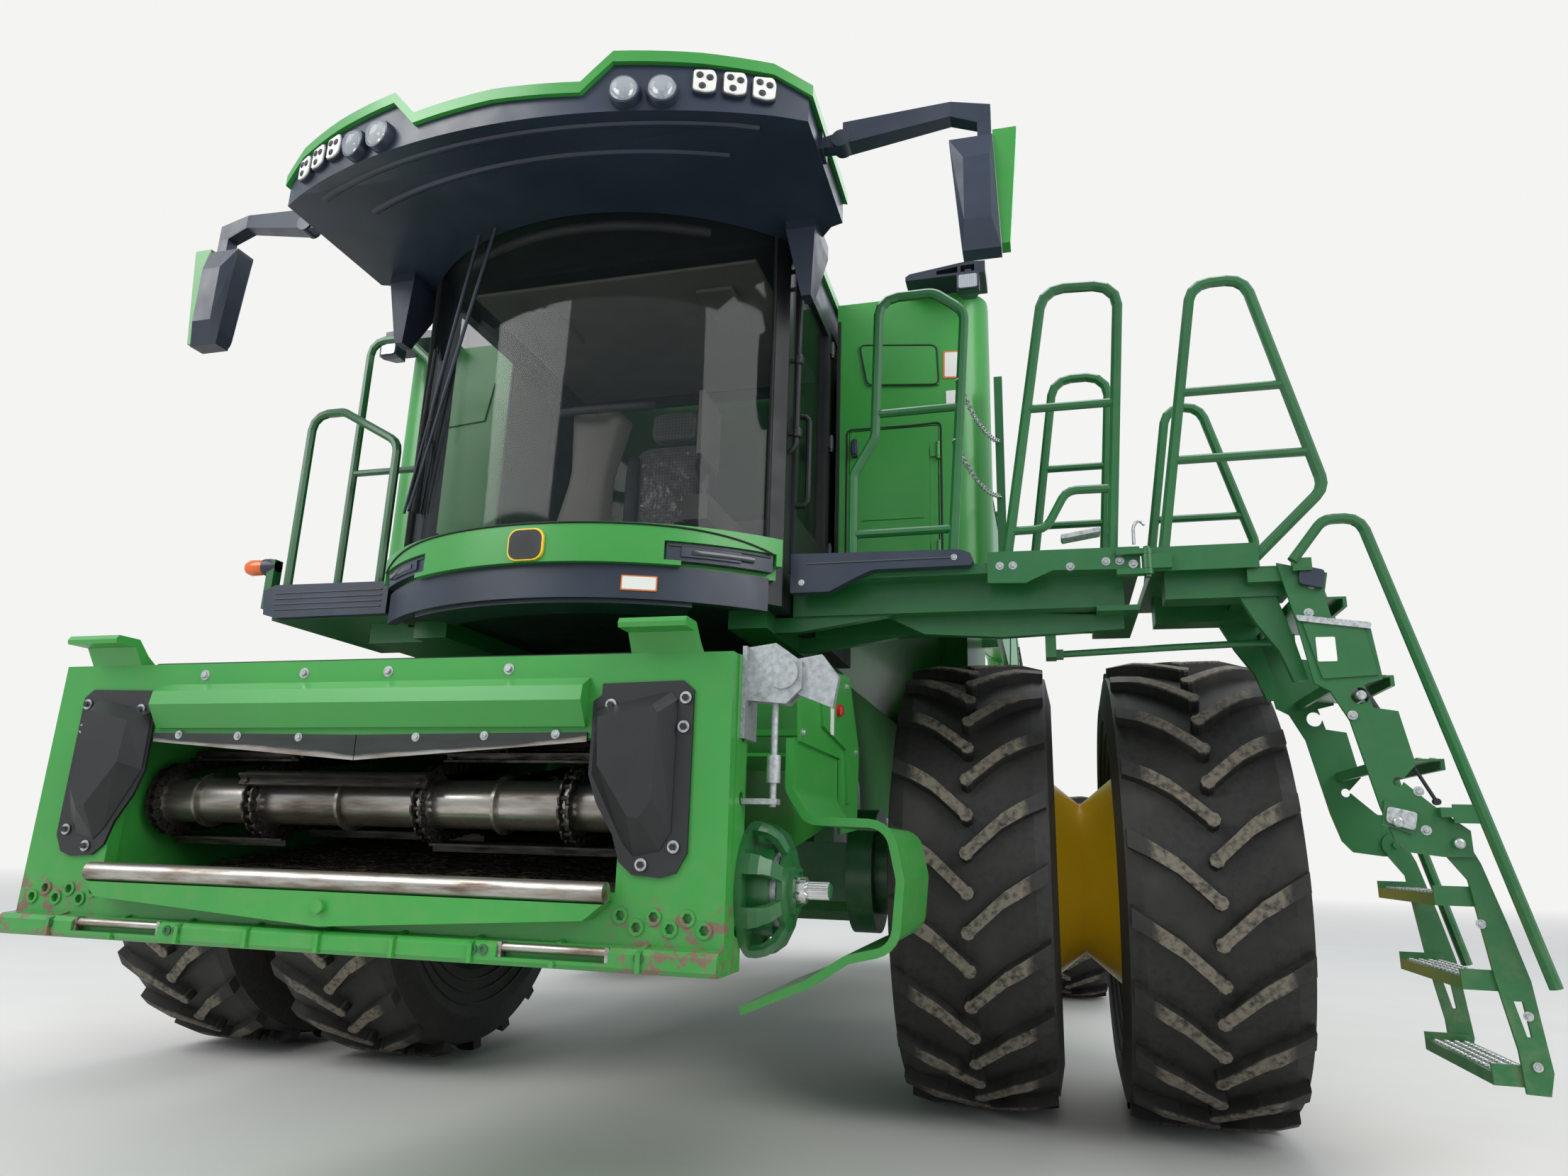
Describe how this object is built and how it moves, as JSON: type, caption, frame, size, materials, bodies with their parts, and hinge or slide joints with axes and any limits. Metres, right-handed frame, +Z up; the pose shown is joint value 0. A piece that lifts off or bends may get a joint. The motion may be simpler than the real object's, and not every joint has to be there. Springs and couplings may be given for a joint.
{
  "type": "combine harvester",
  "caption": "Full-size green combine harvester without header: feeder house in front, cab, dual front tyres, steered rear wheels, grain tank, folded unloading auger and swinging ladder.",
  "frame": {"origin": "middle of the bounding box on the ground plane, which the tyres stand on at Z = 0", "axes": "-Y is the front with the feeder house, +X is the left of the machine with the ladder, +Z is up"},
  "size_m": [6.1126, 10.06, 3.88],
  "materials": {
    "green_paint": "satin",
    "dark_green_paint": "satin",
    "yellow_paint": "satin",
    "black_paint": "satin",
    "dark_metal": "matt",
    "bare_steel": "satin",
    "tyre_rubber": "matt",
    "tinted_glass": "gloss",
    "cab_trim": "matt",
    "black_plastic": "satin",
    "lamp_lens": "gloss"
  },
  "bodies": {
    "body": {"chassis_frame": "dark_green_paint", "front_axle": "dark_green_paint", "rear_axle": "dark_green_paint", "separator_body": "green_paint", "engine": "dark_metal", "grain_tank": "green_paint", "side_frames": "dark_green_paint", "bulkheads": "green_paint", "engine_deck": "green_paint", "rear_hood": "green_paint", "cab_shell": "black_paint", "cab_glass": "tinted_glass", "cab_roof": "green_paint", "roof_brow": "black_plastic", "roof_lamps": "lamp_lens", "chin_pods": "black_plastic", "cab_chin": "green_paint", "cab_interior": "cab_trim", "cab_seat": "cab_trim", "mirrors": "black_plastic", "mirror_shells": "green_paint", "work_lights": "black_plastic", "walkway": "dark_green_paint", "walkway_rails": "dark_green_paint", "deck_trims": "black_plastic", "right_platform": "dark_green_paint", "auger_elbow": "green_paint"},
    "wheel_front_left": {"tyres_front_left": "tyre_rubber", "rims_front_left": "yellow_paint"},
    "wheel_front_right": {"tyres_front_right": "tyre_rubber", "rims_front_right": "yellow_paint"},
    "steer_left": {"knuckle_left": "dark_green_paint"},
    "steer_right": {"knuckle_right": "dark_green_paint"},
    "wheel_rear_left": {"tyre_rear_left": "tyre_rubber", "rim_rear_left": "yellow_paint"},
    "wheel_rear_right": {"tyre_rear_right": "tyre_rubber", "rim_rear_right": "yellow_paint"},
    "feeder": {"feeder_tunnel": "green_paint", "feeder_face": "green_paint", "feeder_guards": "black_paint", "feeder_drum": "bare_steel", "feeder_gearcase": "dark_green_paint", "feeder_shield": "green_paint", "feeder_wear_parts": "bare_steel", "feeder_coupler": "bare_steel"},
    "lift_barrels": {"lift_barrels": "black_paint"},
    "lift_rods": {"lift_rods": "bare_steel"},
    "cab_door": {"cab_door": "black_paint", "cab_door_glass": "tinted_glass"},
    "service_door": {"service_door": "green_paint"},
    "side_shield_left": {"side_shield_left": "green_paint"},
    "side_shield_right": {"side_shield_right": "green_paint"},
    "tank_cover_left": {"tank_cover_left": "green_paint"},
    "tank_cover_right": {"tank_cover_right": "green_paint"},
    "unloading_auger": {"unloading_auger": "green_paint"},
    "ladder": {"ladder_platform": "dark_green_paint", "ladder_upper": "dark_green_paint"},
    "ladder_lower": {"ladder_lower": "dark_green_paint"},
    "spreader_left": {"spreader_left": "bare_steel"},
    "spreader_right": {"spreader_right": "bare_steel"}
  },
  "joints": [
    {"name": "wheel_front_left_spin", "type": "hinge", "parent": "body", "child": "wheel_front_left", "pos_m": [1.73525, -2.14, 1.027], "axis": [1, 0, 0], "continuous": true},
    {"name": "wheel_front_right_spin", "type": "hinge", "parent": "body", "child": "wheel_front_right", "pos_m": [-2.23975, -2.14, 1.027], "axis": [1, 0, 0], "continuous": true},
    {"name": "steer_left_turn", "type": "hinge", "parent": "body", "child": "steer_left", "pos_m": [1.19775, 1.81, 0.81], "axis": [0, 0, 1], "range_deg": [-30, 30]},
    {"name": "steer_right_turn", "type": "hinge", "parent": "body", "child": "steer_right", "pos_m": [-1.70225, 1.81, 0.81], "axis": [0, 0, 1], "range_deg": [-30, 30]},
    {"name": "wheel_rear_left_spin", "type": "hinge", "parent": "steer_left", "child": "wheel_rear_left", "pos_m": [1.66775, 1.81, 0.81], "axis": [1, 0, 0], "continuous": true},
    {"name": "wheel_rear_right_spin", "type": "hinge", "parent": "steer_right", "child": "wheel_rear_right", "pos_m": [-2.17225, 1.81, 0.81], "axis": [1, 0, 0], "continuous": true},
    {"name": "feeder_lift", "type": "hinge", "parent": "body", "child": "feeder", "pos_m": [-0.25225, -2.56, 1.7], "axis": [-1, 0, 0], "range_deg": [-12, 10]},
    {"name": "lift_barrel_tilt", "type": "hinge", "parent": "body", "child": "lift_barrels", "pos_m": [-0.25225, -2.37, 0.83], "axis": [-1, 0, 0], "range_deg": [-10.5, 8.8]},
    {"name": "lift_rod_slide", "type": "slide", "parent": "lift_barrels", "child": "lift_rods", "axis": [0, -0.9964, 0.0852], "range_m": [-0.185, 0.155]},
    {"name": "cab_door_swing", "type": "hinge", "parent": "body", "child": "cab_door", "pos_m": [0.63475, -2.93, 2.9], "axis": [0, 0, 1], "range_deg": [0, 75]},
    {"name": "service_door_swing", "type": "hinge", "parent": "body", "child": "service_door", "pos_m": [1.14975, -2.902, 2.7], "axis": [0, 0, -1], "range_deg": [-100, 0]},
    {"name": "side_shield_left_lift", "type": "hinge", "parent": "body", "child": "side_shield_left", "pos_m": [1.32975, -1.14, 3.302], "axis": [0, -1, 0], "range_deg": [0, 60]},
    {"name": "side_shield_right_lift", "type": "hinge", "parent": "body", "child": "side_shield_right", "pos_m": [-1.83425, -1.14, 3.302], "axis": [0, 1, 0], "range_deg": [0, 60]},
    {"name": "tank_cover_left_open", "type": "hinge", "parent": "body", "child": "tank_cover_left", "pos_m": [0.85275, -0.79, 3.685], "axis": [0, 1, 0], "range_deg": [0, 95]},
    {"name": "tank_cover_right_open", "type": "hinge", "parent": "body", "child": "tank_cover_right", "pos_m": [-1.35725, -0.79, 3.685], "axis": [0, -1, 0], "range_deg": [0, 95]},
    {"name": "auger_swing", "type": "hinge", "parent": "body", "child": "unloading_auger", "pos_m": [1.05775, -1.72, 3.31], "axis": [0, 0, -1], "range_deg": [0, 98]},
    {"name": "ladder_swing", "type": "hinge", "parent": "body", "child": "ladder", "pos_m": [1.97575, -3.66, 2.15], "axis": [0, 0, -1], "range_deg": [0, 90]},
    {"name": "ladder_fold", "type": "hinge", "parent": "ladder", "child": "ladder_lower", "pos_m": [2.84175, -3.33, 1.2], "axis": [0, -1, 0], "range_deg": [0, 120]},
    {"name": "spreader_left_spin", "type": "hinge", "parent": "body", "child": "spreader_left", "pos_m": [0.14775, 3.42, 1.25], "axis": [0, 0, 1], "continuous": true},
    {"name": "spreader_right_spin", "type": "hinge", "parent": "body", "child": "spreader_right", "pos_m": [-0.65225, 3.42, 1.25], "axis": [0, 0, -1], "continuous": true}
  ],
  "couplings": [
    {"joint": "steer_right_turn", "follows": "steer_left_turn", "ratio": 1},
    {"joint": "lift_barrel_tilt", "follows": "feeder_lift", "ratio": 0.835},
    {"joint": "lift_rod_slide", "follows": "feeder_lift", "m_per_rad": 0.8514}
  ]
}
